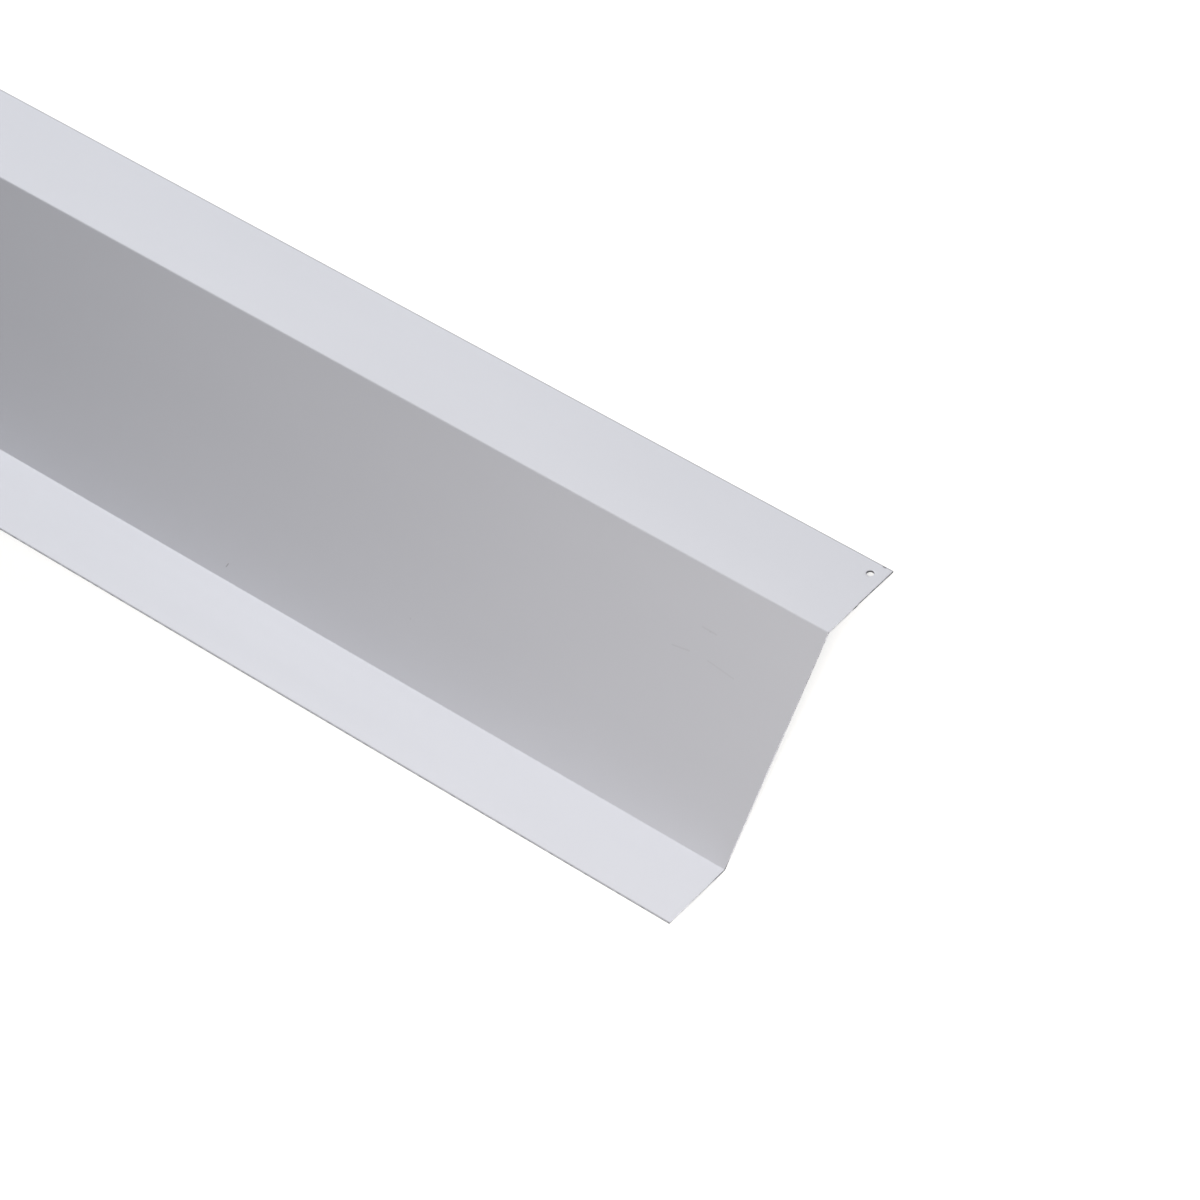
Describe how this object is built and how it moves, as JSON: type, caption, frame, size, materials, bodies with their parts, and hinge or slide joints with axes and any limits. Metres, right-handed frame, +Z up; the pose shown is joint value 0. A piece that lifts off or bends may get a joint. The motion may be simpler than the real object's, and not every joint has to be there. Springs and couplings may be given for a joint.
{
  "type": "z flashing",
  "caption": "Straight Z-shaped flashing folded from one strip of coated steel sheet: a sloping web between parallel flanges, with a hanging hole near one corner.",
  "frame": {"origin": "centre of the bottom of the bounding box, as the flashing lies on a level floor", "axes": "+X along the length towards the end with the hanging hole, +Y towards the upper flange's edge, +Z up with the coated face upwards"},
  "size_m": [2, 0.1356, 0.0211],
  "materials": {
    "coated_sheet": "satin"
  },
  "bodies": {
    "root": {"flashing_sheet": "coated_sheet"}
  },
  "joints": []
}
